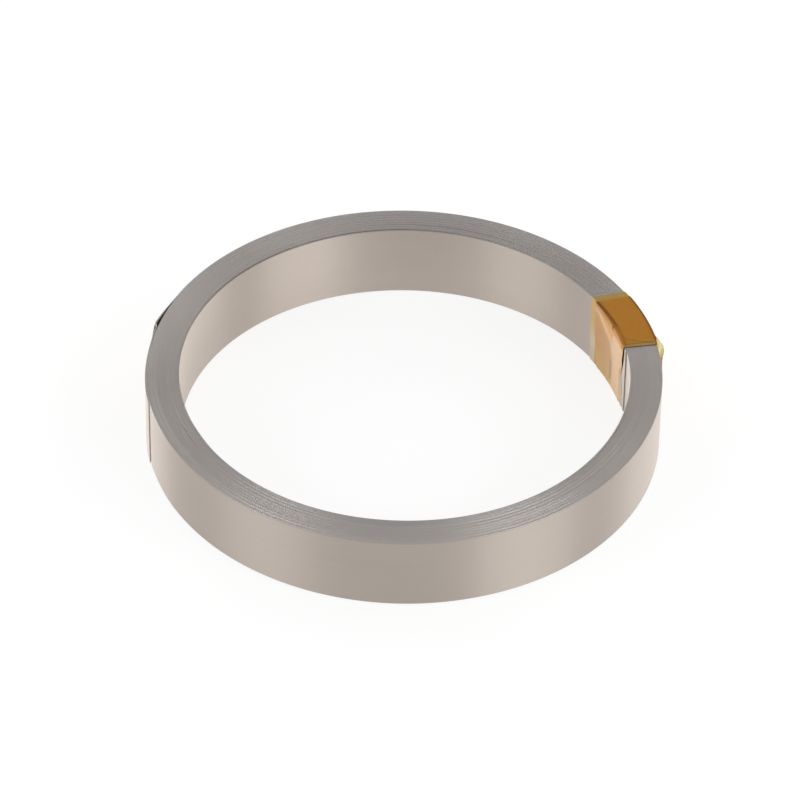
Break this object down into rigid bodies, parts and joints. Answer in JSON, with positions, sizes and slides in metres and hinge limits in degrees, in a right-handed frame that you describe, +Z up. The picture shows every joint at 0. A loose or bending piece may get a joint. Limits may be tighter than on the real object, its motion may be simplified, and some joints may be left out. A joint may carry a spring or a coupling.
{
  "type": "nickel strip coil",
  "caption": "Flat ring coil of plain nickel strip for joining battery cells, lying on its edge, with a band of amber polyimide tape wound round its section.",
  "frame": {"origin": "on the axis of the coil's bore, level with the underside of the tape band, which is the lowest point", "axes": "+Z up along the bore, +X to the viewer's right in the picture and +Y away from the viewer"},
  "size_m": [0.0523, 0.0523, 0.0083],
  "materials": {
    "nickel": "satin rolled nickel, warm grey",
    "tape": "glossy translucent amber film"
  },
  "bodies": {
    "root": {"strip_coil": "nickel", "tape_band": "tape", "end_tape": "tape"}
  },
  "joints": []
}
